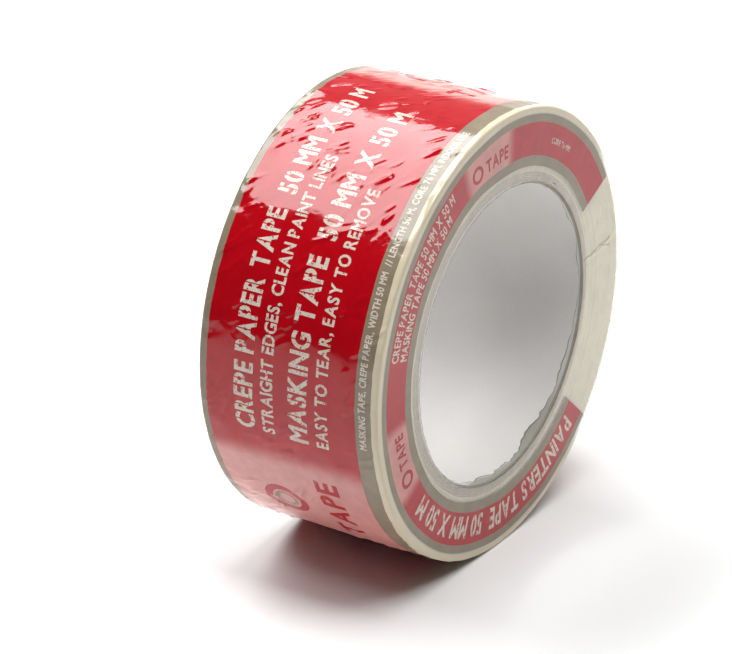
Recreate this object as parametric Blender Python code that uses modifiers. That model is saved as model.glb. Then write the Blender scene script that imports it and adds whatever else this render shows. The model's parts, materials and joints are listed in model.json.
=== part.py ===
"""A new roll of 50 mm masking tape, still sealed in its heat-shrunk film, standing on its tread.

The roll's axis is Y and its origin is the middle of the bore, halfway across the width.  Every
turned piece is a polygon of the same FACETS flats in the same phase, so concentric pieces keep the
same gap all the way round, and one flat of the film lies level under the roll for it to rest on.
A radius below is the distance from the axis to a flat.
"""

import math

import bpy

COLLECTION_NAME = "masking_tape_roll"

# Core: a spiral-wound tube of one white liner ply and five grey board plies.
CORE_BORE_RADIUS = 0.0381
CORE_LENGTH = 0.0500
LINER_THICKNESS = 0.0003
BOARD_PLIES = 5
BOARD_PITCH = 0.00044
GLUE_LINE = 0.0001
STRIP_PITCH = 0.160
STRIP_BUTT_GAP = 0.0006
SEAM_STAGGER = math.radians(60.0)

# Tape: one strip of creped paper wound on the core, its free end one thickness high.
TAPE_WIDTH = 0.0500
TAPE_THICKNESS = 0.0001
TAPE_OUTER_RADIUS = 0.0566
TAPE_END_ANGLE = math.radians(130.0)

# Film: a shrunk sleeve over the tread and both sides, with a lip turned into each end of the bore.
WRAPPED_RADIUS = 0.0570
WRAPPED_WIDTH = 0.0508
FILM_THICKNESS = 0.0002
LIP_RADIUS = 0.0378
LIP_DEPTH = 0.0035
RIM_ROUNDING = 0.0005
SHOULDER_ROUNDING = 0.0007
ARC_STEPS = 3

# Facets: a half-step turn puts the middle of a flat, not a corner, on each row axis.
FACETS = 72
HALF_STEP = math.pi / FACETS
MERGE_DISTANCE = 0.00001


def clear_scene():
    for old in list(bpy.data.objects):
        bpy.data.objects.remove(old, do_unlink=True)


def new_collection(name):
    collection = bpy.data.collections.new(name)
    bpy.context.scene.collection.children.link(collection)
    return collection


def make_material(name, colour, roughness, metallic=0.0):
    material = bpy.data.materials.new(name)
    material.use_nodes = True
    shader = material.node_tree.nodes["Principled BSDF"]
    shader.inputs["Base Color"].default_value = (*colour, 1.0)
    shader.inputs["Roughness"].default_value = roughness
    shader.inputs["Metallic"].default_value = metallic
    return material


def corner_radius(flat_radius):
    """The distance from the axis to a corner of a polygon whose flats are flat_radius from it."""
    return flat_radius / math.cos(HALF_STEP)


def make_axis(collection):
    """An empty whose local Z is the roll's axis, +Y of the part."""
    axis = bpy.data.objects.new("roll_axis", None)
    axis.rotation_euler = (-math.pi / 2.0, 0.0, 0.0)
    axis.empty_display_size = 0.02
    collection.objects.link(axis)
    return axis


def place(obj, collection, axis, turn=0.0):
    obj.parent = axis
    obj.rotation_euler = (0.0, 0.0, HALF_STEP + turn)
    collection.objects.link(obj)


def profile_object(name, profile):
    """An object holding an open line of (radius, along) points, ready to be turned about local Z."""
    mesh = bpy.data.meshes.new(name)
    points = [(corner_radius(radius), 0.0, along) for radius, along in profile]
    edges = [(i, i + 1) for i in range(len(points) - 1)]
    mesh.from_pydata(points, edges, [])
    return bpy.data.objects.new(name, mesh)


def add_screw(obj, turns=1, rise=0.0):
    screw = obj.modifiers.new("turn", "SCREW")
    screw.axis = "Z"
    screw.angle = 2.0 * math.pi
    screw.steps = FACETS
    screw.render_steps = FACETS
    screw.iterations = turns
    screw.screw_offset = rise
    screw.use_merge_vertices = rise == 0.0
    screw.merge_threshold = MERGE_DISTANCE


def add_thickness(obj, thickness):
    """Thickens an open surface behind its faces."""
    shell = obj.modifiers.new("thickness", "SOLIDIFY")
    shell.thickness = thickness
    shell.offset = -1.0
    shell.use_even_offset = True


def arc(centre, radius, start, end):
    """Points of a quarter round of a profile, angles measured from the radial direction."""
    points = []
    for i in range(ARC_STEPS + 1):
        angle = start + (end - start) * i / ARC_STEPS
        points.append((centre[0] + radius * math.cos(angle), centre[1] + radius * math.sin(angle)))
    return points


def film_profile():
    """The film's outer line, from one bore lip round the tread to the other."""
    side = WRAPPED_WIDTH / 2.0
    lip_end = (LIP_RADIUS, side - LIP_DEPTH)
    rim_centre = (LIP_RADIUS + RIM_ROUNDING, side - RIM_ROUNDING)
    shoulder_centre = (WRAPPED_RADIUS - SHOULDER_ROUNDING, side - SHOULDER_ROUNDING)
    rim = arc(rim_centre, RIM_ROUNDING, math.pi, math.pi / 2.0)
    shoulder = arc(shoulder_centre, SHOULDER_ROUNDING, math.pi / 2.0, 0.0)
    upper_half = [lip_end] + rim + shoulder
    lower_half = [(radius, -along) for radius, along in reversed(upper_half)]
    return upper_half + lower_half


def make_film(collection, axis):
    film = profile_object("film_sleeve", film_profile())
    place(film, collection, axis)
    add_screw(film)
    add_thickness(film, FILM_THICKNESS)
    film.data.materials.append(make_material("printed_film", (0.46, 0.03, 0.05), 0.18))
    return film


def polygon_spline(curve, radii, start_angle):
    """A closed outline, one corner a facet step, at the given flat radii."""
    spline = curve.splines.new("POLY")
    spline.points.add(len(radii) - 1)
    spline.use_cyclic_u = True
    for i, radius in enumerate(radii):
        angle = start_angle + 2.0 * HALF_STEP * i
        reach = corner_radius(radius)
        spline.points[i].co = (reach * math.cos(angle), reach * math.sin(angle), 0.0, 1.0)


def make_tape(collection, axis):
    """The wound strip: its outline loses one thickness in a turn, and its free end is the step."""
    curve = bpy.data.curves.new("tape_winding", "CURVE")
    curve.dimensions = "2D"
    curve.fill_mode = "BOTH"
    curve.extrude = TAPE_WIDTH / 2.0
    end_step = round(TAPE_END_ANGLE / (2.0 * HALF_STEP))
    loss = TAPE_THICKNESS / FACETS
    outside = [TAPE_OUTER_RADIUS - loss * i for i in range(FACETS + 1)]
    inside = [core_outer_radius() + GLUE_LINE] * FACETS
    polygon_spline(curve, outside, end_step * 2.0 * HALF_STEP)
    polygon_spline(curve, inside, 0.0)
    tape = bpy.data.objects.new("tape_winding", curve)
    place(tape, collection, axis)
    curve.materials.append(make_material("crepe_paper", (0.72, 0.66, 0.48), 0.75))
    return tape


def core_outer_radius():
    return CORE_BORE_RADIUS + LINER_THICKNESS + BOARD_PLIES * BOARD_PITCH


def make_trim_cutter(collection, axis):
    """The slice of the long core tube that is kept: plies are trimmed where it ends."""
    size = 2.0 * TAPE_OUTER_RADIUS
    bpy.ops.mesh.primitive_cylinder_add(vertices=FACETS, radius=size, depth=CORE_LENGTH)
    cutter = bpy.context.active_object
    cutter.name = "core_trim_cutter"
    for owner in list(cutter.users_collection):
        owner.objects.unlink(cutter)
    place(cutter, collection, axis)
    cutter.hide_render = True
    cutter.display_type = "WIRE"
    return cutter


def make_ply(name, outer_radius, thickness, turn, material, collection, axis, cutter):
    """One strip of the spiral-wound core: a tube wall with a helical butt seam, trimmed to length.

    The strip makes two turns, rising a pitch in each, and its middle crossing of the core is kept.
    """
    strip_width = STRIP_PITCH - STRIP_BUTT_GAP
    low = -1.5 * STRIP_PITCH
    ply = profile_object(name, [(outer_radius, low + strip_width), (outer_radius, low)])
    place(ply, collection, axis, turn)
    add_screw(ply, turns=2, rise=STRIP_PITCH)
    add_thickness(ply, thickness)
    trim = ply.modifiers.new("trim", "BOOLEAN")
    trim.operation = "INTERSECT"
    trim.solver = "EXACT"
    trim.object = cutter
    ply.data.materials.append(material)
    return ply


def make_core(collection, axis, cutter):
    """The liner and the board plies, from the bore outwards, their seams spread round the tube."""
    white = make_material("core_liner_paper", (0.80, 0.78, 0.74), 0.70)
    grey = make_material("core_board", (0.42, 0.38, 0.32), 0.85)
    liner_radius = CORE_BORE_RADIUS + LINER_THICKNESS
    make_ply("core_liner", liner_radius, LINER_THICKNESS, 0.0, white, collection, axis, cutter)
    for i in range(BOARD_PLIES):
        outer = liner_radius + BOARD_PITCH * (i + 1)
        steps = round(SEAM_STAGGER * (i + 1) / (2.0 * HALF_STEP))
        turn = steps * 2.0 * HALF_STEP
        name = f"core_ply_{i + 1}"
        make_ply(name, outer, BOARD_PITCH - GLUE_LINE, turn, grey, collection, axis, cutter)


def main():
    clear_scene()
    parts = new_collection(COLLECTION_NAME)
    cutters = new_collection("cutters")
    cutters.hide_render = True
    axis = make_axis(parts)
    cutter = make_trim_cutter(cutters, axis)
    make_core(parts, axis, cutter)
    make_tape(parts, axis)
    make_film(parts, axis)


main()
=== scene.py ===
"""The looks of a new roll of 50 mm masking tape, sealed in its printed shrink film.

The film is one wrinkled sheet on the film's own web coordinates: PHI, degrees round the roll from the
top towards -X, and T, millimetres across the film from the middle of the tread, positive towards
the front side (-Y).  Every printed band and letter is placed in those coordinates, as on the flat
film before it was shrunk.
"""

import json
import math

import bmesh
import bpy
import numpy as np
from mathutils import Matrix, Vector
from mathutils.geometry import delaunay_2d_cdt

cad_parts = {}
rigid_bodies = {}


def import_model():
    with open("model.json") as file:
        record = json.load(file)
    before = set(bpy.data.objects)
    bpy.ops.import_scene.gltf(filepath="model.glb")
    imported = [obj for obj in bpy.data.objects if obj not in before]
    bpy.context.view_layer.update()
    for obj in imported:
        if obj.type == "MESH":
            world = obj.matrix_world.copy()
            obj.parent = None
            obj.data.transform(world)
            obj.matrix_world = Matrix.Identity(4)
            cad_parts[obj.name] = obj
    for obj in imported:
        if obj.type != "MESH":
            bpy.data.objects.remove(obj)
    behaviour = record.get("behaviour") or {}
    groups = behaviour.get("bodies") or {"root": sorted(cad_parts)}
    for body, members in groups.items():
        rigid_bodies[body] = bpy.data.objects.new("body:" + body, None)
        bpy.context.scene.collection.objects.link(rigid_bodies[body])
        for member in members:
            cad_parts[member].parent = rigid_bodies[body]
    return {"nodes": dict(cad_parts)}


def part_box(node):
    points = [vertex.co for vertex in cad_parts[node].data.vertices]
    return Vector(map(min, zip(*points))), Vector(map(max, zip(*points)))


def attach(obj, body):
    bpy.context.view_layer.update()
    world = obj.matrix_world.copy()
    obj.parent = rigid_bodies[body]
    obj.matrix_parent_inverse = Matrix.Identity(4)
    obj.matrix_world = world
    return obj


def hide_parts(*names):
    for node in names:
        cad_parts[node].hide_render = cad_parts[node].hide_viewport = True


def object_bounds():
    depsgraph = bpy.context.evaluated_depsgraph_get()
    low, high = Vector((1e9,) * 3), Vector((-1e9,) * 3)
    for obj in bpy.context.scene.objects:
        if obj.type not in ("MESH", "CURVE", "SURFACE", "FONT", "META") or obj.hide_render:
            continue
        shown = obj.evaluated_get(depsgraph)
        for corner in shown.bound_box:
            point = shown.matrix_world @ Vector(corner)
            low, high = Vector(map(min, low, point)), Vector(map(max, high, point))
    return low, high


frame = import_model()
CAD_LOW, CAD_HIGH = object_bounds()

MM = 0.001

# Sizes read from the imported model, in millimetres.
FILM_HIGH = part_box("film_sleeve")[1]
TAPE_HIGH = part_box("tape_winding")[1]
LINER_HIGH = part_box("core_liner")[1]
PLY_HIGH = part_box("core_ply_5")[1]
ROLL_RADIUS = FILM_HIGH.z / MM
HALF_WIDTH = FILM_HIGH.y / MM
TAPE_RADIUS = TAPE_HIGH.z / MM
TAPE_HALF_WIDTH = TAPE_HIGH.y / MM
CORE_RADIUS = PLY_HIGH.z / MM
LINER_THICKNESS = 0.3
BORE_RADIUS = LINER_HIGH.z / MM - LINER_THICKNESS

# The film's shape, in millimetres and in degrees round the roll.
LIP_RADIUS = BORE_RADIUS - 0.28
SHOULDER_ROUNDING = 0.6
RIM_ROUNDING = 0.6
LIP_DEPTH = 1.7
LIP_STRETCH = (0.12, 1.7)
LIP_DEEPEST = 192.0
LIP_SPREAD = 42.0
TREAD_END = HALF_WIDTH - SHOULDER_ROUNDING
SHOULDER_END = TREAD_END + SHOULDER_ROUNDING * math.pi / 2
SIDE_END = SHOULDER_END + ROLL_RADIUS - SHOULDER_ROUNDING - LIP_RADIUS - RIM_ROUNDING
RIM_END = SIDE_END + RIM_ROUNDING * math.pi / 2
LIP_END = RIM_END + LIP_DEPTH
SEAM_PHI = 278.5
DEEPEST_DENT = -0.13

# The film's grid has COLUMNS points round the roll; its noise has the same columns and its own rows.
COLUMNS = 900
NOISE_PITCH = 0.4
NOISE_ROWS = 2 * int(LIP_END / NOISE_PITCH + 6)

# Short creases in the film, in clusters of near-parallel ones: sizes in millimetres, tilts in degrees,
# and the spread of their places and their reach in steps of the noise grid.
FOLD_SEED = 31
FOLD_CLUSTERS = 135
FOLDS_IN_CLUSTER = (3, 9)
FOLD_TILT = 42.0
CLUSTER_TILT_SPREAD = 8.0
FOLD_TILT_SPREAD = 7.0
FOLD_BEND_SPREAD = 0.04
FOLD_PLACE_SPREAD = 7.0
FOLD_LENGTH = (1.0, 3.2)
FOLD_WIDTH = (0.32, 0.48)
FOLD_HEIGHT = 0.24
FOLD_REACH = 14

# The wound tape, in millimetres.
TAPE_EDGE_ROUNDING = 0.5
TAPE_STEPS = 46
TAPE_COLUMNS = 360
TAPE_SEED = 21
TAPE_UNEVENNESS = 0.035
CLEAR_OF_CORE = 0.12
CLEAR_OF_TREAD = 0.22
CLEAR_OF_SIDE = 0.06

# The core's liner ply, in millimetres; its seam is LINER_SEAM degrees round at mid-width.
LINER_PITCH = 160.0
LINER_GAP = 0.35
LINER_SEAM = 72.0
LINER_COLUMNS, LINER_ROWS = 420, 41

SHARP_ANGLE = 40.0


def on_side(radius):
    """The web position of a place on the film's flat side."""
    return SHOULDER_END + ROLL_RADIUS - SHOULDER_ROUNDING - radius


# The print: the far edges of its bands, measured from a line PRINT_SHIFT off the tread's middle.
PRINT_SHIFT = 2.06
BANDS = (
    (21.02, "red"),
    (25.40, "grey"),
    (on_side(55.1) + PRINT_SHIFT, None),
    (on_side(53.1) + PRINT_SHIFT, "grey"),
    (on_side(44.75) + PRINT_SHIFT, "red"),
    (on_side(42.3) + PRINT_SHIFT, "grey"),
)
BANDS_WIDTH = 50.0
PRINT_START, PRINT_END = 227.0, -63.0
PATCH_TREAD = ((152.0, 106.0), (-2.5, -46.0))
PATCH_SIDE = ((123.0, 94.5), (23.0, -5.0))

# Lettering, in millimetres, or in shares of a letter's size.
PRINT_LIFT = 0.03
PRINT_CELL = 0.45
CAP_HEIGHT = 0.69
LETTER_GAP = 0.085
WORD_GAP = 0.30
SLIT_LETTERS = "OCGSDPRA05"
SLIT_WIDTH = 0.05
SLIT_PLACE = 0.52
SLIT_MARGIN = 0.1
RING_CORNERS = 40
POINTS_AT_ONCE = 2000

# Colours, as linear red, green and blue, and the film's gloss.
INK_RED = (0.395, 0.002, 0.007)
INK_DEEP_RED = (0.36, 0.006, 0.014)
INK_PALE = (0.59, 0.29, 0.26)
INK_GREY = (0.235, 0.190, 0.132)
INK_CREAM = (0.62, 0.54, 0.46)
CLEAR_FILM = (0.86, 0.85, 0.80)
CLEAR_ALPHA = 0.14
# The bunched film's own grey; along the seam crease it also stands for painted shade.
FILM_GREY_AND_SEAM_SHADE = (0.20, 0.19, 0.13)
TIGHT_CREAM = (0.61, 0.535, 0.39)
TAPE_CREAM = (0.47, 0.435, 0.325)
BAND_COLOURS = {"red": INK_RED, "grey": INK_GREY, None: CLEAR_FILM}
FILM_IOR = 1.5

# The camera, at the photograph's viewing angle.
CAMERA_AZIMUTH, CAMERA_ELEVATION = -57.04, 24.74
CAMERA_DISTANCE = 1.020
CAMERA_RIGHT, CAMERA_UP = -0.01226, -0.00374
CAMERA_LENS, SENSOR = 203.3, 36.0

# The studio, in metres: each light's name, place, aim, size and brightness beside a white sheet's.
LIGHTS = (
    ("strip_behind", (0.10, 0.80, 1.10), (0.10, 0.80, 0.0), (1.47, 0.62), 8.0),
    ("softbox_overhead", (0.0, -0.25, 1.10), (0.0, -0.25, 0.0), (0.5, 1.0), 9.0),
    ("backdrop_low", (1.50, 0.90, 0.17), (0.0, 0.0, 0.17), (1.8, 0.5), 0.8),
    ("backdrop_high", (1.40, 0.87, 0.95), (0.0, 0.0, 0.2), (1.6, 0.9), 0.45),
    ("backdrop_side", (1.50, -0.50, 0.42), (0.0, 0.0, 0.1), (1.3, 0.8), 0.5),
)
ROOM_LIGHT = 0.02
FLOOR_RADIUS = 1.4
FLOOR_DROP = 0.00005
FLOOR_FADE = (0.5, 1.2)


# ---------------------------------------------------------------- noise and grids

def web_noise(seed, along, across, tilt=0.0):
    """Smooth noise over the film's web, even round the roll, with unit spread.

    along and across are correlation lengths in millimetres; tilt turns them, in degrees.
    """
    white = np.random.default_rng(seed).standard_normal((NOISE_ROWS, COLUMNS))
    pitch_round = 2 * math.pi * ROLL_RADIUS / COLUMNS
    k_round = 2 * math.pi * np.fft.fftfreq(COLUMNS, pitch_round)[None, :]
    k_across = 2 * math.pi * np.fft.fftfreq(NOISE_ROWS, NOISE_PITCH)[:, None]
    turn = math.radians(tilt)
    k_a = k_round * math.cos(turn) + k_across * math.sin(turn)
    k_b = k_across * math.cos(turn) - k_round * math.sin(turn)
    keep = np.exp(-0.5 * ((k_a * along) ** 2 + (k_b * across) ** 2))
    field = np.fft.ifft2(np.fft.fft2(white) * keep).real
    return field / field.std()


def on_rows(field, t):
    """A web field read at the grid's own rows: t is rows by columns, in millimetres."""
    place = np.clip(t / NOISE_PITCH + NOISE_ROWS / 2, 0, NOISE_ROWS - 1.001)
    low = place.astype(int)
    part = place - low
    column = np.arange(t.shape[1])[None, :] % field.shape[1]
    return field[low, column] * (1 - part) + field[low + 1, column] * part


def smooth_step(x, start, end):
    """0 at start, 1 at end, with no corner at either."""
    share = np.clip((x - start) / (end - start), 0, 1)
    return share * share * (3 - 2 * share)


def turned(phi, start):
    """Degrees from start to phi the short way round."""
    return (phi - start + 180.0) % 360.0 - 180.0


def crease(field, width):
    """Narrow ridges along the zero lines of a smooth field."""
    return np.exp(-((field / width) ** 2))


def folds():
    """Short creases over the web, as heights in millimetres on the noise grid."""
    rng = np.random.default_rng(FOLD_SEED)
    field = np.zeros((NOISE_ROWS, COLUMNS))
    pitch_round = 2 * math.pi * ROLL_RADIUS / COLUMNS
    window = np.arange(-FOLD_REACH, FOLD_REACH + 1)
    rows, columns = np.meshgrid(window, window, indexing="ij")
    x, y = columns * pitch_round, rows * NOISE_PITCH
    for _ in range(FOLD_CLUSTERS):
        column = rng.uniform(0, COLUMNS)
        row = NOISE_ROWS / 2 + rng.uniform(-TREAD_END, TREAD_END) / NOISE_PITCH
        lean = rng.normal(FOLD_TILT, CLUSTER_TILT_SPREAD)
        for _ in range(rng.integers(*FOLDS_IN_CLUSTER)):
            tilt = math.radians(lean + rng.normal(0.0, FOLD_TILT_SPREAD))
            length = rng.uniform(*FOLD_LENGTH)
            width = rng.uniform(*FOLD_WIDTH)
            height = rng.uniform(0.5, 1.1) * FOLD_HEIGHT
            bend = rng.normal(0.0, FOLD_BEND_SPREAD)
            i = int(column + rng.normal(0.0, FOLD_PLACE_SPREAD))
            middle_row = row + rng.normal(0.0, FOLD_PLACE_SPREAD)
            j = int(np.clip(middle_row, FOLD_REACH, NOISE_ROWS - FOLD_REACH - 1))
            along = y * math.cos(tilt) - x * math.sin(tilt)
            off = x * math.cos(tilt) + y * math.sin(tilt) + bend * along ** 2
            ridge = height * np.exp(-(along / length) ** 4 - (off / width) ** 2)
            field[j + rows, (i + columns) % COLUMNS] += ridge
    return np.minimum(field, 1.3 * FOLD_HEIGHT)


def profile(t):
    """The smooth film's radius, distance from mid-width, and normal, at signed web positions t."""
    a = np.abs(t)
    shoulder = np.clip((a - TREAD_END) / SHOULDER_ROUNDING, 0, math.pi / 2)
    rim = np.clip((a - SIDE_END) / RIM_ROUNDING, 0, math.pi / 2)
    side = np.clip(a, SHOULDER_END, SIDE_END) - SHOULDER_END
    lip = np.clip(a - RIM_END, 0, None)
    radius = ROLL_RADIUS - SHOULDER_ROUNDING * (1 - np.cos(shoulder)) - side
    radius = radius - RIM_ROUNDING * np.sin(rim)
    out = np.clip(a, 0, TREAD_END) + SHOULDER_ROUNDING * np.sin(shoulder)
    out = out - RIM_ROUNDING * (1 - np.cos(rim)) - lip
    turn = shoulder + rim
    return radius, out * np.sign(t), np.cos(turn), np.sin(turn) * np.sign(t)


def spaced(start, end, pitch):
    """Even steps of about pitch from start, stopping short of end."""
    count = max(2, round((end - start) / pitch))
    return [start + (end - start) * i / count for i in range(count)]


def film_rows():
    """Web positions of the grid's rows, closer together round the film's tight bends."""
    half = spaced(0, TREAD_END, 0.42)
    half += spaced(TREAD_END, SHOULDER_END, 0.16)
    half += spaced(SHOULDER_END, SIDE_END, 0.5)
    half += spaced(SIDE_END, RIM_END, 0.2)
    half += spaced(RIM_END, LIP_END, 0.4)
    half.append(LIP_END)
    return np.array([-x for x in reversed(half[1:])] + half)


def add_mesh(name, points, faces, web_uv=None):
    """A smooth mesh piece in the scene, with its web coordinates if it has them."""
    mesh = bpy.data.meshes.new(name)
    mesh.from_pydata(points.reshape(-1, 3).tolist(), [], faces.tolist())
    mesh.validate()
    mesh.shade_smooth()
    if web_uv is not None:
        layer = mesh.uv_layers.new(name="web")
        layer.data.foreach_set("uv", web_uv.ravel())
    obj = bpy.data.objects.new(name, mesh)
    bpy.context.scene.collection.objects.link(obj)
    return obj


def grid_quads(rows, columns):
    """Quads of a grid that closes on itself along its columns."""
    j, i = np.meshgrid(np.arange(rows - 1), np.arange(columns), indexing="ij")
    here, above = j * columns, (j + 1) * columns
    onward = (i + 1) % columns
    return np.stack([here + i, here + onward, above + onward, above + i], -1).reshape(-1, 4)


def face_outwards(obj):
    """Turn a closed piece's faces outwards, and keep its edges sharp."""
    work = bmesh.new()
    work.from_mesh(obj.data)
    bmesh.ops.recalc_face_normals(work, faces=work.faces)
    work.to_mesh(obj.data)
    work.free()
    obj.data.shade_smooth()
    obj.data.set_sharp_from_angle(angle=math.radians(SHARP_ANGLE))


# ---------------------------------------------------------------- the film

def film_height(t, phi):
    """How far the film stands off its smooth shape, in millimetres."""
    a = np.abs(t)
    tread = 1 - smooth_step(a, TREAD_END - 1.0, SHOULDER_END)
    side = smooth_step(a, TREAD_END, SHOULDER_END + 1.0)
    rim = smooth_step(a, SIDE_END - 5.0, SIDE_END)
    edge = smooth_step(a, TREAD_END - 7.0, TREAD_END - 1.0) * tread

    broad = 0.070 * on_rows(web_noise(1, 3.6, 3.0), t)
    fine = 0.012 * on_rows(web_noise(2, 1.5, 1.2), t)
    where = smooth_step(on_rows(web_noise(3, 5.0, 5.0), t), -0.7, 0.9)
    slant = crease(on_rows(web_noise(4, 1.5, 4.4, 42.0), t), 0.16)
    loose = crease(on_rows(web_noise(5, 1.9, 2.1), t), 0.11)
    pucker = on_rows(web_noise(6, 1.1, 4.0), t)

    slanted = 0.06 * slant * where
    stray = 0.04 * loose * where
    height = tread * (broad + fine + slanted + stray + on_rows(folds(), t))
    height += edge * 0.08 * pucker
    height += side * (0.20 * broad + 0.008 * on_rows(web_noise(7, 0.9, 6.0), t))
    height += rim * 0.04 * pucker

    away = turned(phi, SEAM_PHI)
    seam = np.exp(-((away + 0.5 * on_rows(web_noise(9, 40.0, 3.0), t)) / 0.6) ** 2)
    height += 0.12 * seam * side * smooth_step(a, SIDE_END, SIDE_END - 2.0)
    return np.maximum(height, DEEPEST_DENT)


def placed_along(t, phi):
    """Where each grid point lies along the profile: the lips are uneven and the rows wander a little."""
    a = np.abs(t)
    ragged = 1.0 + 0.28 * on_rows(web_noise(11, 3.0, 90.0), t) + 0.10 * on_rows(web_noise(12, 0.8, 90.0), t)
    low_down = np.exp(-((turned(phi, LIP_DEEPEST) / LIP_SPREAD) ** 2))
    depth = np.clip(ragged * (0.20 + 1.10 * low_down), *LIP_STRETCH)
    placed = np.sign(t) * np.where(a > RIM_END, RIM_END + (a - RIM_END) * depth, a)
    wander = 0.10 * on_rows(web_noise(13, 5.0, 5.0), t)
    return placed + wander * (1 - smooth_step(a, SIDE_END - 2, SIDE_END))


def film_points(t, phi):
    """The film's points in millimetres, none of them below the floor."""
    radius, out, n_radial, n_out = profile(placed_along(t, phi))
    lip = smooth_step(np.abs(t), RIM_END, LIP_END)
    curl = lip * (0.25 + 0.25 * on_rows(web_noise(14, 2.0, 60.0), t))
    height = film_height(t, phi) * (1 - lip) + np.clip(curl, -0.1, 0.9)
    angle = np.radians(phi)
    reach = radius + height * n_radial
    points = np.stack([-reach * np.sin(angle), -(out + height * n_out), reach * np.cos(angle)], -1)
    points[..., 2] = np.maximum(points[..., 2], -ROLL_RADIUS)
    return points


def grid_normals(points):
    """The film's unit normals, pointing away from the tape."""
    round_way = np.roll(points, -1, axis=1) - np.roll(points, 1, axis=1)
    across_way = np.gradient(points, axis=0)
    normals = np.cross(round_way, across_way)
    return normals / (np.linalg.norm(normals, axis=-1, keepdims=True) + 1e-12)


def web_corners(rows):
    """The web coordinates of each quad's corners, both from 0 to 1."""
    j, i = np.meshgrid(np.arange(len(rows) - 1), np.arange(COLUMNS), indexing="ij")
    u = np.stack([i, i + 1, i + 1, i], -1) / COLUMNS
    v = np.stack([rows[j], rows[j], rows[j + 1], rows[j + 1]], -1) / (2 * LIP_END) + 0.5
    return np.stack([u, v], -1).reshape(-1, 4, 2)


def make_film(material):
    """The film, and its grid for the print: the rows' web positions, the points and their normals."""
    rows = film_rows()
    phi = (np.arange(COLUMNS) * 360.0 / COLUMNS)[None, :]
    t = np.repeat(rows[:, None], COLUMNS, axis=1)
    points = film_points(t, phi)
    film = add_mesh("shrink_film", points * MM, grid_quads(len(rows), COLUMNS), web_corners(rows))
    film.data.materials.append(material)
    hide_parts("film_sleeve")
    return rows, points, grid_normals(points)


def on_film(grid, phi, t):
    """Points just off the film at web positions."""
    rows, points, normals = grid
    column = (phi % 360.0) / 360.0 * COLUMNS
    i = column.astype(int) % COLUMNS
    fi = (column - np.floor(column))[:, None]
    j = np.clip(np.searchsorted(rows, t) - 1, 0, len(rows) - 2)
    fj = ((t - rows[j]) / (rows[j + 1] - rows[j]))[:, None]
    onward = (i + 1) % COLUMNS

    def blend(field):
        near = field[j, i] * (1 - fi) + field[j, onward] * fi
        far = field[j + 1, i] * (1 - fi) + field[j + 1, onward] * fi
        return near * (1 - fj) + far * fj

    return blend(points) + PRINT_LIFT * blend(normals)


# ---------------------------------------------------------------- lettering

def glyph_outline(letter, weight):
    """Points and edges of one letter's outline, in the font's units, weight making it bolder."""
    curve = bpy.data.curves.new("glyph", "FONT")
    curve.body = letter
    curve.offset = weight
    curve.resolution_u = 3
    obj = bpy.data.objects.new("glyph", curve)
    bpy.context.scene.collection.objects.link(obj)
    bpy.context.view_layer.update()
    mesh = bpy.data.meshes.new_from_object(obj.evaluated_get(bpy.context.evaluated_depsgraph_get()))
    corners = np.array([v.co[:2] for v in mesh.vertices])
    points, index = np.unique(np.round(corners, 5), axis=0, return_inverse=True)
    index = index.reshape(-1)
    uses = {}
    for face in mesh.polygons:
        loop = [int(index[k]) for k in face.vertices]
        for a, b in zip(loop, loop[1:] + loop[:1]):
            key = (min(a, b), max(a, b))
            uses[key] = uses.get(key, 0) + 1
    edges = [key for key, count in uses.items() if count == 1 and key[0] != key[1]]
    bpy.data.objects.remove(obj)
    bpy.data.curves.remove(curve)
    bpy.data.meshes.remove(mesh)
    points[:, 0] -= points[:, 0].min()
    return points, edges


def outline_of_words(body, weight, stencil):
    """The outline of a line of capitals, and the boxes of the stencil slits across its letters."""
    known = {letter: glyph_outline(letter, weight) for letter in sorted(set(body)) if letter != " "}
    points, edges, slits = [], [], []
    count, pen = 0, 0.0
    for letter in body:
        if letter == " ":
            pen += WORD_GAP
            continue
        shape, loops = known[letter]
        width = float(shape[:, 0].max())
        points.append(shape + (pen, 0.0))
        edges += [(a + count, b + count) for a, b in loops]
        if stencil and letter in SLIT_LETTERS:
            middle = pen + width * SLIT_PLACE
            slits.append((middle - SLIT_WIDTH / 2, middle + SLIT_WIDTH / 2))
        count += len(shape)
        pen += width + LETTER_GAP
    return np.concatenate(points), edges, slits


def inside(points, edges_a, edges_b):
    """Even-odd test of points against an outline's edges."""
    result = np.zeros(len(points), bool)
    for start in range(0, len(points), POINTS_AT_ONCE):
        part = points[start:start + POINTS_AT_ONCE]
        x, y = part[:, :1], part[:, 1:]
        ax, ay = edges_a[None, :, 0], edges_a[None, :, 1]
        bx, by = edges_b[None, :, 0], edges_b[None, :, 1]
        crosses = (ay > y) != (by > y)
        span = np.where(by == ay, 1.0, by - ay)
        at = ax + (y - ay) * (bx - ax) / span
        result[start:start + POINTS_AT_ONCE] = ((crosses & (at > x)).sum(1) % 2) == 1
    return result


def add_line(points, edges, a, b):
    """Join points a and b by edges no longer than a cell, adding the points between them."""
    start, end = np.array(points[a]), np.array(points[b])
    steps = max(1, math.ceil(float(np.linalg.norm(end - start)) / PRINT_CELL))
    last = a
    for k in range(1, steps):
        points.append(tuple(start + (end - start) * k / steps))
        edges.append((last, len(points) - 1))
        last = len(points) - 1
    edges.append((last, b))


def cell_points(low, high, starts, ends):
    """Points a cell apart that lie inside an outline."""
    xs = np.arange(low[0] + PRINT_CELL / 3, high[0], PRINT_CELL)
    ys = np.arange(low[1] + PRINT_CELL / 3, high[1], PRINT_CELL)
    cells = np.stack(np.meshgrid(xs, ys), -1).reshape(-1, 2)
    return [tuple(p) for p in cells[inside(cells, starts, ends)]]


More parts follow.
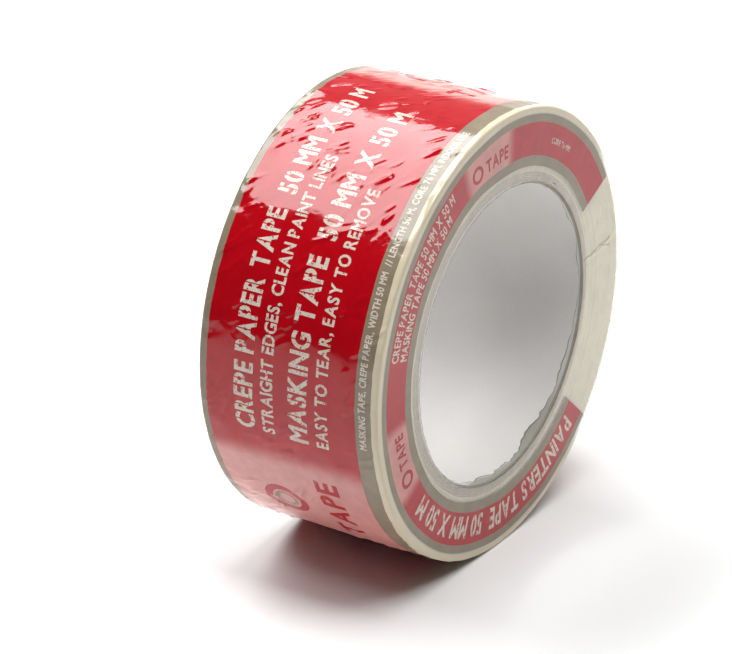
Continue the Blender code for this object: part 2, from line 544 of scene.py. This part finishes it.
def fill_outline(points, edges, slits=()):
    """Triangles filling an outline given in millimetres, leaving upright slits open.

    Points a cell apart, along the outline and inside it, let the shape follow the wrinkled film.
    """
    low, high = points.min(0), points.max(0)
    all_points, all_edges = [tuple(p) for p in points], []
    for a, b in edges:
        add_line(all_points, all_edges, a, b)
    for x in [x for slit in slits for x in slit]:
        first = len(all_points)
        all_points += [(x, low[1] - SLIT_MARGIN), (x, high[1] + SLIT_MARGIN)]
        add_line(all_points, all_edges, first, first + 1)

    starts, ends = points[[a for a, b in edges]], points[[b for a, b in edges]]
    all_points += cell_points(low, high, starts, ends)
    made = delaunay_2d_cdt([Vector(p) for p in all_points], all_edges, [], 1, 1e-6)
    vertices = np.array([tuple(v) for v in made[0]])
    faces = np.array([f for f in made[2] if len(f) == 3])
    middles = vertices[faces].mean(1)
    keep = inside(middles, starts, ends)
    for left, right in slits:
        keep &= (middles[:, 0] < left) | (middles[:, 0] > right)
    return compact(vertices, faces[keep])


def compact(vertices, faces):
    """The faces and only the vertices that they use."""
    used, index = np.unique(faces, return_inverse=True)
    return vertices[used], index.reshape(faces.shape)


class Printer:
    """Gathers printed shapes for one piece, laid on the film by web position."""

    def __init__(self, name, grid, ink):
        self.name = name
        self.grid = grid
        self.ink = ink
        self.points = []
        self.faces = []
        self.count = 0

    def lay(self, phi, t, faces, back):
        """Put one shape on the film, or at the mirrored place on the hidden side."""
        if back:
            phi, t = PRINT_START + PRINT_END - phi, -t - 2 * PRINT_SHIFT
        self.points.append(on_film(self.grid, phi, t))
        self.faces.append(faces + self.count)
        self.count += len(phi)

    def words(self, body, ends, baseline, cap, weight, stencil=False, back=False):
        """One line of capitals, read from ends[0] to ends[1] degrees, feet at t = baseline, cap mm tall."""
        start, end = ends
        outline, edges, slits = outline_of_words(body, weight, stencil)
        radius = float(profile(np.array([abs(baseline)]))[0][0])
        length = abs(math.radians(end - start)) * radius
        stretch = length / float(outline[:, 0].max())
        flat = outline * (stretch, cap / CAP_HEIGHT)
        vertices, faces = fill_outline(flat, edges, [(a * stretch, b * stretch) for a, b in slits])
        phi = start + (end - start) * vertices[:, 0] / length
        self.lay(phi, baseline - vertices[:, 1], faces, back)

    def rings(self, radii, phi_centre, t_centre, back=False):
        """The area between two circles, their radii in millimetres."""
        points = [corner for radius in radii for corner in circle(radius)]
        edges = []
        for first in range(0, len(points), RING_CORNERS):
            edges += [(first + k, first + (k + 1) % RING_CORNERS) for k in range(RING_CORNERS)]
        vertices, faces = fill_outline(np.array(points), edges)
        radius = float(profile(np.array([abs(t_centre)]))[0][0])
        phi = phi_centre - np.degrees(vertices[:, 0] / radius)
        self.lay(phi, t_centre - vertices[:, 1], faces, back)

    def finish(self):
        """The gathered shapes as one piece in the printer's ink."""
        printed = add_mesh(self.name, np.concatenate(self.points) * MM, np.concatenate(self.faces))
        printed.data.materials.append(self.ink)


def circle(radius):
    """The corners of a circle about the origin."""
    turns = [2 * math.pi * k / RING_CORNERS for k in range(RING_CORNERS)]
    return [(radius * math.cos(turn), radius * math.sin(turn)) for turn in turns]


# ---------------------------------------------------------------- materials

class Graph:
    """A short way to write a material's nodes."""

    def __init__(self, name):
        self.material = bpy.data.materials.new(name)
        self.material.use_nodes = True
        self.tree = self.material.node_tree
        self.shader = self.tree.nodes["Principled BSDF"]
        self.output = self.tree.nodes["Material Output"]

    def node(self, kind, inputs=None, **settings):
        """A node with its settings and inputs; an input is a number, a colour or another node's output."""
        made = self.tree.nodes.new(kind)
        for key, value in settings.items():
            setattr(made, key, value)
        for key, value in (inputs or {}).items():
            self.put(made.inputs[key], value)
        return made

    def put(self, socket, value):
        """Link another node's output to a socket, or set the socket's own number or colour."""
        if isinstance(value, bpy.types.NodeSocket):
            self.tree.links.new(value, socket)
        elif socket.type == "RGBA":
            socket.default_value = (*value, 1.0)
        else:
            socket.default_value = value

    def math(self, operation, a, b=0.0, clamp=False):
        """The result of a sum; one that needs a single number leaves b unused."""
        made = self.node("ShaderNodeMath", {0: a, 1: b}, operation=operation, use_clamp=clamp)
        return made.outputs[0]

    def mix(self, share, a, b):
        """Colour a, turning to colour b as share goes from 0 to 1."""
        made = self.node("ShaderNodeMix", data_type="RGBA")
        self.put(made.inputs["Factor"], share)
        self.put(made.inputs[6], a)
        self.put(made.inputs[7], b)
        return made.outputs[2]

    def shade(self, colour, value):
        """A colour made lighter or darker by value."""
        return self.node("ShaderNodeHueSaturation", {"Value": value, "Color": colour}).outputs[0]

    def range(self, value, low, high, to_low=0.0, to_high=1.0, smooth=True):
        """value from low to high, turned into to_low to to_high and held there beyond them."""
        limits = {"Value": value, "From Min": low, "From Max": high, "To Min": to_low, "To Max": to_high}
        made = self.node("ShaderNodeMapRange", limits)
        made.interpolation_type = "SMOOTHSTEP" if smooth else "LINEAR"
        made.clamp = True
        return made.outputs[0]

    def place(self):
        """The shaded point in the piece's own coordinates, in metres."""
        return self.node("ShaderNodeTexCoord").outputs["Object"]

    def noise(self, scale, detail=3.0, rough=0.5, vector=None, distortion=0.0):
        """Noise from 0 to 1, with scale features to a metre."""
        inputs = {"Vector": vector or self.place(), "Scale": scale}
        inputs.update({"Detail": detail, "Roughness": rough, "Distortion": distortion})
        return self.node("ShaderNodeTexNoise", inputs).outputs["Fac"]

    def bump(self, height, distance, normal=None):
        """A normal bent by height, which is worth distance metres from 0 to 1."""
        made = self.node("ShaderNodeBump", {"Height": height, "Distance": distance})
        if normal is not None:
            self.put(made.inputs["Normal"], normal)
        return made.outputs["Normal"]

    def set(self, **values):
        """Set the surface shader's inputs, with _ for each space in their names."""
        for key, value in values.items():
            self.put(self.shader.inputs[key.replace("_", " ")], value)


def film_gloss(graph, dulled=None):
    """The shrink film's gloss over whatever colour it shows: a faintly crinkled, nearly clear mirror.

    dulled is 1 where the film is crumpled and its mirror is lost.
    """
    crinkle = graph.noise(900.0, 2.0, 0.45)
    normal = graph.bump(crinkle, 0.000022)
    smear = graph.range(graph.noise(160.0, 2.0, 0.5), 0.3, 0.75, 0.05, 0.12)
    graph.set(Normal=normal, Roughness=smear, IOR=FILM_IOR)
    graph.shader.inputs["Specular IOR Level"].default_value = 0.0
    mirror = graph.node("ShaderNodeBsdfGlossy", {"Roughness": smear, "Normal": normal})
    share = graph.node("ShaderNodeFresnel", {"Normal": normal})
    share.inputs["IOR"].default_value = FILM_IOR
    shine = share.outputs[0]
    if dulled is not None:
        graph.put(mirror.inputs["Roughness"], graph.math("ADD", smear, graph.math("MULTIPLY", dulled, 0.25)))
        shine = graph.math("MULTIPLY", shine, graph.range(dulled, 0.0, 1.0, 1.0, 0.12, smooth=False))
    graph.put(mirror.inputs["Color"], shine)
    both = graph.node("ShaderNodeAddShader", {0: graph.shader.outputs[0], 1: mirror.outputs[0]})
    graph.tree.links.new(both.outputs[0], graph.output.inputs["Surface"])


def degrees_in(graph, phi, start, end, soft):
    """1 where phi, in degrees, lies between end and start, fading over soft degrees at both ends."""
    middle = (start + end) / 2.0
    half = (start - end) / 2.0
    off = graph.math("SUBTRACT", phi, middle)
    wrapped = graph.node("ShaderNodeMath", {0: off, 1: 180.0, 2: -180.0}, operation="WRAP").outputs[0]
    away = graph.math("ABSOLUTE", wrapped)
    return graph.range(away, half - soft, half, 1.0, 0.0)


def seam_grey_and_shade_line(graph, phi, across):
    """1 along the thin dark crease over the flat side, which forks towards the tread; its darkness is the
    fold's own grey and painted shade.
    """
    wander = graph.math("MULTIPLY", graph.math("SUBTRACT", graph.noise(330.0, 2.0), 0.5), 3.2)
    away = graph.math("ADD", graph.math("SUBTRACT", phi, SEAM_PHI), wander)
    fork = graph.range(across, on_side(52.5), on_side(46.5), 2.2, 0.0, smooth=False)
    one = graph.range(graph.math("ABSOLUTE", away), 0.15, 0.42, 1.0, 0.0)
    other = graph.range(graph.math("ABSOLUTE", graph.math("ADD", away, fork)), 0.12, 0.34, 1.0, 0.0)
    ends = graph.math("MULTIPLY", graph.range(across, on_side(52.8), on_side(51.5)),
                      graph.range(across, on_side(38.8), on_side(38.4), 1.0, 0.0))
    return graph.math("MULTIPLY", graph.math("MAXIMUM", one, other), ends)


def web_place(graph):
    """Web coordinates of a shaded point: degrees round the roll, and millimetres across the film."""
    web = graph.node("ShaderNodeUVMap", uv_map="web").outputs[0]
    split = graph.node("ShaderNodeSeparateXYZ", {0: web})
    phi = graph.math("MULTIPLY", split.outputs[0], 360.0)
    t = graph.math("MULTIPLY", graph.math("SUBTRACT", split.outputs[1], 0.5), 2 * LIP_END)
    return phi, t


def printed_bands(graph, shifted):
    """The bands' colours, and 1 where they have ink, across the film."""
    ramp = graph.node("ShaderNodeValToRGB", {0: graph.math("DIVIDE", shifted, BANDS_WIDTH)})
    ramp.color_ramp.interpolation = "CONSTANT"
    start = 0.0
    for k, (end, ink) in enumerate((*BANDS, (BANDS_WIDTH, None))):
        stop = ramp.color_ramp.elements[k] if k < 2 else ramp.color_ramp.elements.new(start)
        stop.position = start
        stop.color = (*BAND_COLOURS[ink], 0.0 if ink is None else 1.0)
        start = end / BANDS_WIDTH
    return ramp.outputs[0], ramp.outputs[1]


def pale_patches(graph, phi, shifted):
    """1 in the pale patches of the red bands on the tread and the sides."""
    tread = graph.math("LESS_THAN", shifted, BANDS[0][0])
    side = graph.math("MULTIPLY", graph.math("GREATER_THAN", shifted, BANDS[3][0]),
                      graph.math("LESS_THAN", shifted, BANDS[4][0]))
    tread_pale = graph.math("MAXIMUM", *[degrees_in(graph, phi, *ends, 7.0) for ends in PATCH_TREAD])
    side_pale = graph.math("MAXIMUM", *[degrees_in(graph, phi, *ends, 5.0) for ends in PATCH_SIDE])
    return graph.math("ADD", graph.math("MULTIPLY", tread, tread_pale),
                      graph.math("MULTIPLY", side, side_pale), clamp=True)


def gathered_film_and_seam_shade(graph, phi, across, rim):
    """How dark the film is drawn where it is bunched: at the rim, on the lip and at its cut edge; along its
    seam, the fold's own grey with painted shade.
    """
    reach = 1.3 * LIP_SPREAD
    low_down = degrees_in(graph, phi, LIP_DEEPEST + reach, LIP_DEEPEST - reach, 40.0)
    on_lip = graph.range(across, RIM_END - 0.2, RIM_END + 0.2)
    on_rim = graph.math("MULTIPLY", rim, 0.60)
    tint = graph.mix(on_lip, on_rim, graph.range(low_down, 0.0, 1.0, 0.10, 0.42))
    cut = graph.math("MULTIPLY", graph.range(across, LIP_END - 0.5, LIP_END - 0.2), 0.75)
    # Painted shade along the seam crease, together with the fold's own grey.
    seam = graph.math("MULTIPLY", seam_grey_and_shade_line(graph, phi, across), 0.45)
    return graph.math("MAXIMUM", graph.math("MAXIMUM", tint, cut), seam)


def tight_film(graph, phi, across):
    """1 round the shoulders, where the film is pressed to the tape, and less where it isn't printed."""
    tight = graph.math("MULTIPLY", graph.range(across, TREAD_END - 1.8, TREAD_END - 1.4),
                       graph.range(across, SHOULDER_END + 0.9, SHOULDER_END + 1.9, 1.0, 0.0))
    printed = degrees_in(graph, phi, PRINT_START, PRINT_END, 16.0)
    return graph.math("MULTIPLY", tight, graph.range(printed, 0.0, 1.0, 0.45, 1.0))


def film_material():
    """Printed ink where the bands are, and slightly hazy clear film elsewhere."""
    graph = Graph("printed_shrink_film")
    phi, t = web_place(graph)
    across = graph.math("ABSOLUTE", t)
    wander = graph.math("MULTIPLY", graph.math("SUBTRACT", graph.noise(420.0), 0.5), 0.16)
    shifted = graph.math("ADD", graph.math("ABSOLUTE", graph.math("ADD", t, PRINT_SHIFT)), wander)

    colour, has_ink = printed_bands(graph, shifted)
    pale = graph.math("MULTIPLY", pale_patches(graph, phi, shifted), 0.85)
    tone = graph.range(graph.noise(300.0, 4.0), 0.3, 0.7, 0.93, 1.05)
    inked = graph.shade(graph.mix(pale, colour, INK_PALE), tone)
    cover = graph.math("MULTIPLY", has_ink, degrees_in(graph, phi, PRINT_START, PRINT_END, 0.25))

    rim = graph.range(across, SIDE_END - 0.3, SIDE_END + 0.4)
    gathered_and_seam_shade = gathered_film_and_seam_shade(graph, phi, across, rim)
    tight = tight_film(graph, phi, across)
    haze = graph.range(graph.noise(240.0, 3.0), 0.35, 0.75, CLEAR_ALPHA * 0.75, CLEAR_ALPHA * 1.3)
    alpha = graph.math("MAXIMUM", graph.math("MAXIMUM", cover, haze), graph.math("MAXIMUM", gathered_and_seam_shade, tight))
    # The bunched film's grey, with painted shade along the seam crease.
    clear = graph.mix(graph.range(gathered_and_seam_shade, 0.0, 0.25), CLEAR_FILM, FILM_GREY_AND_SEAM_SHADE)
    clear = graph.mix(tight, clear, TIGHT_CREAM)
    graph.set(Base_Color=graph.mix(cover, clear, inked), Alpha=alpha)
    film_gloss(graph, rim)
    return graph.material


def ink_material(name, colour, under, wear):
    """A printed ink with scuffs that show the ink under it."""
    graph = Graph(name)
    scuff = graph.noise(1500.0, 4.0, 0.65)
    gone = graph.range(scuff, wear, wear + 0.03, 0.0, 1.0)
    tone = graph.range(graph.noise(500.0), 0.3, 0.7, 0.95, 1.05)
    graph.set(Base_Color=graph.mix(gone, graph.shade(colour, tone), under))
    film_gloss(graph)
    return graph.material


def radial(graph):
    """Distance from the roll's axis, in metres."""
    split = graph.node("ShaderNodeSeparateXYZ", {0: graph.place()})
    return graph.math("SQRT", graph.math("ADD", graph.math("POWER", split.outputs[0], 2.0),
                                         graph.math("POWER", split.outputs[2], 2.0)))


def crepe_ridges(graph):
    """The paper's fine ridges across the strip, on the tread only, 0.5 elsewhere."""
    split = graph.node("ShaderNodeSeparateXYZ", {0: graph.place()})
    angle = graph.math("ARCTAN2", split.outputs[0], split.outputs[2])
    length = graph.math("MULTIPLY", angle, TAPE_RADIUS * MM)
    width = graph.math("MULTIPLY", split.outputs[1], 0.16)
    strip = graph.node("ShaderNodeCombineXYZ", {0: length, 1: width}).outputs[0]
    ridges = graph.noise(1150.0, 3.0, 0.55, vector=strip, distortion=0.3)
    on_tread = graph.math("GREATER_THAN", radial(graph), (TAPE_RADIUS - 1.2) * MM)
    raised = graph.math("MULTIPLY", graph.math("SUBTRACT", ridges, 0.5), on_tread)
    return graph.math("ADD", raised, 0.5)


def wound_rings(graph, scale):
    """Noise that changes only away from the axis, with scale rings to a metre."""
    away = graph.math("MULTIPLY", radial(graph), scale)
    return graph.node("ShaderNodeTexNoise", {"W": away, "Scale": 1.0}, noise_dimensions="1D").outputs["Fac"]


def tape_material():
    """Creped cream paper: fine ridges across the strip, and the wound edges' fine rings."""
    graph = Graph("creped_masking_paper")
    rings = wound_rings(graph, 3400.0)
    layers = wound_rings(graph, 700.0)
    fibre = graph.noise(1800.0, 4.0, 0.6)
    crepe = crepe_ridges(graph)
    ringed = graph.math("MULTIPLY", graph.range(layers, 0.2, 0.8, 0.96, 1.03),
                        graph.range(rings, 0.25, 0.75, 0.93, 1.03))
    value = graph.math("MULTIPLY", ringed, graph.range(fibre, 0.3, 0.7, 0.96, 1.03))
    colour = graph.shade(TAPE_CREAM, value)
    colour = graph.shade(colour, graph.range(crepe, 0.3, 0.7, 0.93, 1.04))
    ridged = graph.bump(crepe, 0.00008, normal=graph.bump(rings, 0.000008))
    graph.set(Base_Color=colour, Roughness=graph.range(fibre, 0.3, 0.7, 0.6, 0.8),
              Normal=graph.bump(fibre, 0.000012, normal=ridged))
    graph.shader.inputs["Sheen Weight"].default_value = 0.15
    return graph.material


def board_material():
    """Grey recycled core board, laid in plies."""
    graph = Graph("grey_core_board")
    fibre = graph.noise(1400.0, 5.0, 0.65)
    speck = graph.noise(5200.0, 2.0, 0.5)
    colour = graph.mix(graph.range(fibre, 0.3, 0.7), (0.36, 0.315, 0.255), (0.44, 0.39, 0.32))
    colour = graph.mix(graph.range(speck, 0.62, 0.70), colour, (0.26, 0.22, 0.17))
    graph.set(Base_Color=colour, Roughness=graph.range(fibre, 0.3, 0.7, 0.75, 0.95),
              Normal=graph.bump(fibre, 0.00008))
    return graph.material


def liner_material():
    """Smooth white paper, with faint mottling from the board under it."""
    graph = Graph("white_liner_paper")
    mottle = graph.noise(90.0, 3.0, 0.5)
    fibre = graph.noise(2400.0, 4.0, 0.6)
    colour = graph.mix(graph.range(mottle, 0.3, 0.7), (0.640, 0.624, 0.609), (0.662, 0.646, 0.630))
    colour = graph.shade(colour, graph.range(fibre, 0.3, 0.7, 0.97, 1.02))
    graph.set(Base_Color=colour, Roughness=graph.range(fibre, 0.3, 0.7, 0.5, 0.65),
              Normal=graph.bump(fibre, 0.00002))
    return graph.material


def floor_material():
    """Matt white, fading into the white background away from the roll where it is seen directly."""
    graph = Graph("studio_white")
    grain = graph.noise(3.0, 2.0, 0.5)
    colour = graph.mix(graph.range(grain, 0.3, 0.7), (0.86, 0.86, 0.86), (0.88, 0.88, 0.88))
    away = graph.node("ShaderNodeVectorMath", {0: graph.place()}, operation="LENGTH").outputs["Value"]
    near = graph.range(away, *FLOOR_FADE, 1.0, 0.0)
    seen = graph.node("ShaderNodeLightPath").outputs["Is Camera Ray"]
    solid = graph.math("MAXIMUM", near, graph.math("SUBTRACT", 1.0, seen))
    graph.set(Base_Color=colour, Roughness=0.6, Alpha=solid)
    graph.shader.inputs["Specular IOR Level"].default_value = 0.15
    return graph.material


# ---------------------------------------------------------------- tape and core

def tape_section():
    """The wound strip's closed outline, as rows of radius and distance from mid-width."""
    uneven = np.random.default_rng(TAPE_SEED).normal(0.0, TAPE_UNEVENNESS, TAPE_STEPS)
    inner, outer = CORE_RADIUS + CLEAR_OF_CORE, TAPE_RADIUS - CLEAR_OF_TREAD
    front = []
    for k in range(TAPE_STEPS):
        radius = inner + (outer - inner) * k / (TAPE_STEPS - 1)
        into = max(0.0, radius - (outer - TAPE_EDGE_ROUNDING))
        drawn_in = TAPE_EDGE_ROUNDING - math.sqrt(TAPE_EDGE_ROUNDING ** 2 - into ** 2 + 1e-9)
        front.append((radius, TAPE_HALF_WIDTH - CLEAR_OF_SIDE + uneven[k] - drawn_in))
    return np.array(front + [(radius, -y) for radius, y in reversed(front)])


def make_tape(material):
    """The wound strip, its edges standing a little proud or shy of each other."""
    section = tape_section()
    angle = (np.arange(TAPE_COLUMNS) * 2 * math.pi / TAPE_COLUMNS)[None, :]
    across = np.repeat(section[:, 1:], TAPE_COLUMNS, axis=1)
    points = np.stack([-section[:, :1] * np.sin(angle), across, section[:, :1] * np.cos(angle)], -1)
    last = (len(section) - 1) * TAPE_COLUMNS
    closing = grid_quads(2, TAPE_COLUMNS)
    closing = np.where(closing >= TAPE_COLUMNS, closing - TAPE_COLUMNS, closing + last)
    faces = np.concatenate([grid_quads(len(section), TAPE_COLUMNS), closing])
    tape = add_mesh("tape_roll", points * MM, faces)
    tape.data.materials.append(material)
    face_outwards(tape)
    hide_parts("tape_winding")


def liner_faces():
    """Faces of the liner's two skins, and of the four narrow strips that close it."""
    rows, columns = LINER_ROWS, LINER_COLUMNS
    j, i = np.meshgrid(np.arange(rows - 1), np.arange(columns - 1), indexing="ij")
    base = (j * columns + i).ravel()
    skin = np.stack([base, base + 1, base + columns + 1, base + columns], -1)
    outer = rows * columns
    faces = [skin, (skin + outer)[:, ::-1]]
    borders = (
        np.arange(columns),
        (rows - 1) * columns + np.arange(columns)[::-1],
        np.arange(rows)[::-1] * columns,
        np.arange(rows) * columns + columns - 1,
    )
    for border in borders:
        a, b = border[:-1], border[1:]
        faces.append(np.stack([b, a, a + outer, b + outer], -1))
    return np.concatenate(faces)


def make_liner(material):
    """The white liner ply: a thin tube with a helical butt seam."""
    y = np.linspace(-TAPE_HALF_WIDTH, TAPE_HALF_WIDTH, LINER_ROWS)[:, None]
    seam = math.radians(LINER_SEAM) - 2 * math.pi * y / LINER_PITCH
    open_angle = LINER_GAP / BORE_RADIUS
    share = np.linspace(0, 1, LINER_COLUMNS)[None, :]
    angle = seam + open_angle / 2 + (2 * math.pi - open_angle) * share
    skins = []
    for radius in (BORE_RADIUS, BORE_RADIUS + LINER_THICKNESS):
        skins.append(np.stack([-radius * np.sin(angle), y + 0 * angle, radius * np.cos(angle)], -1))
    liner = add_mesh("core_liner_paper", np.stack(skins) * MM, liner_faces())
    liner.data.materials.append(material)
    face_outwards(liner)
    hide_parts("core_liner")


# ---------------------------------------------------------------- print layout

def print_tread_lines(grid, ink):
    """The tread's four lines, and the same lines again, shorter, in the panel after the pale patch."""
    lines = (
        ("CREPE PAPER TAPE  50 MM X 50 M", 99.0, -10.0, 5.0, 0.032, True),
        ("STRAIGHT EDGES, CLEAN PAINT LINES", 73.0, -4.3, 3.2, 0.03, False),
        ("MASKING TAPE  50 MM X 50 M", 92.5, 5.3, 5.0, 0.032, True),
        ("EASY TO TEAR, EASY TO REMOVE", 66.5, 11.0, 3.1, 0.03, False),
    )
    bold = Printer("tread_lettering", grid, ink)
    for start, shorter in ((102.0, 1.0), (PRINT_START - 3.0, 0.74)):
        for body, span, baseline, cap, weight, stencil in lines:
            bold.words(body, (start, start - span * shorter), baseline, cap, weight, stencil)
    bold.finish()


def print_small_lines(grid, ink):
    """The small lines in the tread's grey band."""
    small = Printer("tread_small_lettering", grid, ink)
    baseline, cap, weight = 21.9, 1.8, 0.03
    small.words("MASKING TAPE, CREPE PAPER, WIDTH 50 MM", (99.0, 54.5), baseline, cap, weight)
    small.words("// LENGTH 50 M, CORE 76 MM, INDOOR USE", (53.0, 11.0), baseline, cap, weight)
    small.words("MASKING TAPE, CREPE PAPER, WIDTH 50 MM", (222.0, 177.5), baseline, cap, weight)
    small.finish()


def print_patches(grid, red_ink, grey_ink):
    """The word and the plain ring in each pale patch."""
    red = Printer("red_lettering", grid, red_ink)
    red.words("TAPE", (139.0, 114.0), 10.4, 6.2, 0.035)
    red.words("TAPE", (-7.0, -32.0), 10.4, 6.2, 0.035)
    for back in (False, True):
        red.words("TAPE", (111.0, 99.0), on_side(46.7), 3.2, 0.03, back=back)
        red.words("TAPE", (11.0, -1.0), on_side(46.7), 3.2, 0.03, back=back)
        for centre in (115.5, 15.5):
            red.rings((2.4, 1.5), centre, on_side(48.4), back)
    tread_rings = (127.0, -19.0)
    for centre in tread_rings:
        red.rings((6.0, 3.9), centre, -8.0)
    red.finish()

    grey = Printer("grey_symbols", grid, grey_ink)
    for centre in tread_rings:
        grey.rings((3.2, 2.2), centre, -8.0)
    grey.finish()


def print_side_lines(grid, ink):
    """The lines in the red band of both sides."""
    side = Printer("side_lettering", grid, ink)
    for back in (False, True):
        side.words("PAINTERS TAPE  50 MM X 50 M", (222.0, 128.0), on_side(45.9), 5.2, 0.03, True, back)
        side.words("CREPE PAPER TAPE 50 MM X 50 M", (76.5, 28.0), on_side(49.4), 2.8, 0.025, back=back)
        side.words("MASKING TAPE 50 MM X 50 M", (76.5, 32.0), on_side(45.55), 2.8, 0.025, back=back)
        side.words("CORE 76 MM", (-26.0, -38.0), on_side(48.1), 1.4, 0.02, back=back)
    side.finish()


def print_film(grid):
    """All the printed pieces, each in its own ink, worn through to the ink under it."""
    red_ink = ink_material("print_red", INK_DEEP_RED, INK_PALE, 0.66)
    cream_ink = ink_material("print_cream", INK_CREAM, INK_RED, 0.575)
    small_ink = ink_material("print_small_cream", INK_CREAM, INK_GREY, 0.72)
    grey_ink = ink_material("print_grey", INK_GREY, INK_PALE, 0.70)
    print_tread_lines(grid, cream_ink)
    print_small_lines(grid, small_ink)
    print_patches(grid, red_ink, grey_ink)
    print_side_lines(grid, cream_ink)


# ---------------------------------------------------------------- studio

def area_light(name, place, towards, size, radiance):
    """A soft panel that looks as bright as a white sheet times radiance."""
    light = bpy.data.lights.new(name, "AREA")
    light.shape = "RECTANGLE"
    light.size, light.size_y = size
    light.energy = radiance * math.pi * size[0] * size[1]
    obj = bpy.data.objects.new(name, light)
    bpy.context.scene.collection.objects.link(obj)
    obj.location = place
    aim = (Vector(towards) - Vector(place)).normalized()
    obj.rotation_euler = aim.to_track_quat("-Z", "Y").to_euler()


def make_world():
    """A dim room, which the camera sees as a plain white wall."""
    world = bpy.data.worlds.new("studio_world")
    world.use_nodes = True
    tree = world.node_tree
    path = tree.nodes.new("ShaderNodeLightPath")
    strength = tree.nodes.new("ShaderNodeMapRange")
    strength.inputs["To Min"].default_value = ROOM_LIGHT
    strength.inputs["To Max"].default_value = 1.0
    tree.links.new(path.outputs["Is Camera Ray"], strength.inputs["Value"])
    background = tree.nodes["Background"]
    background.inputs["Color"].default_value = (1.0, 1.0, 1.0, 1.0)
    tree.links.new(strength.outputs[0], background.inputs["Strength"])
    return world


def make_studio():
    """The pale floor, the soft lights and the room."""
    floor_level = CAD_LOW.z - FLOOR_DROP
    bpy.ops.mesh.primitive_circle_add(vertices=96, radius=FLOOR_RADIUS, fill_type="NGON",
                                      location=(0.0, 0.0, floor_level))
    floor = bpy.context.active_object
    floor.name = "studio_floor"
    floor.data.materials.append(floor_material())
    for light in LIGHTS:
        area_light(*light)
    bpy.context.scene.world = make_world()
    bpy.context.scene.view_settings.view_transform = "Standard"


def make_camera():
    """The camera, looking at the roll's centre and moved sideways a little to frame it."""
    azimuth, elevation = math.radians(CAMERA_AZIMUTH), math.radians(CAMERA_ELEVATION)
    back = Vector((
        math.sin(azimuth) * math.cos(elevation),
        -math.cos(azimuth) * math.cos(elevation),
        math.sin(elevation),
    ))
    turn = back.to_track_quat("Z", "Y")
    right, up = turn @ Vector((1, 0, 0)), turn @ Vector((0, 1, 0))
    data = bpy.data.cameras.new("photo_camera")
    data.lens = CAMERA_LENS
    data.sensor_width = SENSOR
    data.clip_start, data.clip_end = 0.05, 20.0
    camera = bpy.data.objects.new("photo_camera", data)
    bpy.context.scene.collection.objects.link(camera)
    camera.rotation_mode = "QUATERNION"
    camera.rotation_quaternion = turn
    camera.location = right * CAMERA_RIGHT + up * CAMERA_UP + back * CAMERA_DISTANCE
    bpy.context.scene.camera = camera


def cover_board_plies():
    """Give the five board plies, which stay as they are in CAD, their board material."""
    board = board_material()
    for name, node in frame["nodes"].items():
        if name.startswith("core_ply"):
            node.data.materials.clear()
            node.data.materials.append(board)


def ride_everything():
    """Every new piece belongs to the roll's one body."""
    for obj in bpy.context.scene.objects:
        if obj.type == "MESH" and obj.parent is None and obj.name != "studio_floor":
            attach(obj, "root")


def main():
    """Everything, in the order in which it is built."""
    make_camera()
    print_film(make_film(film_material()))
    make_tape(tape_material())
    make_liner(liner_material())
    cover_board_plies()
    make_studio()
    ride_everything()


main()
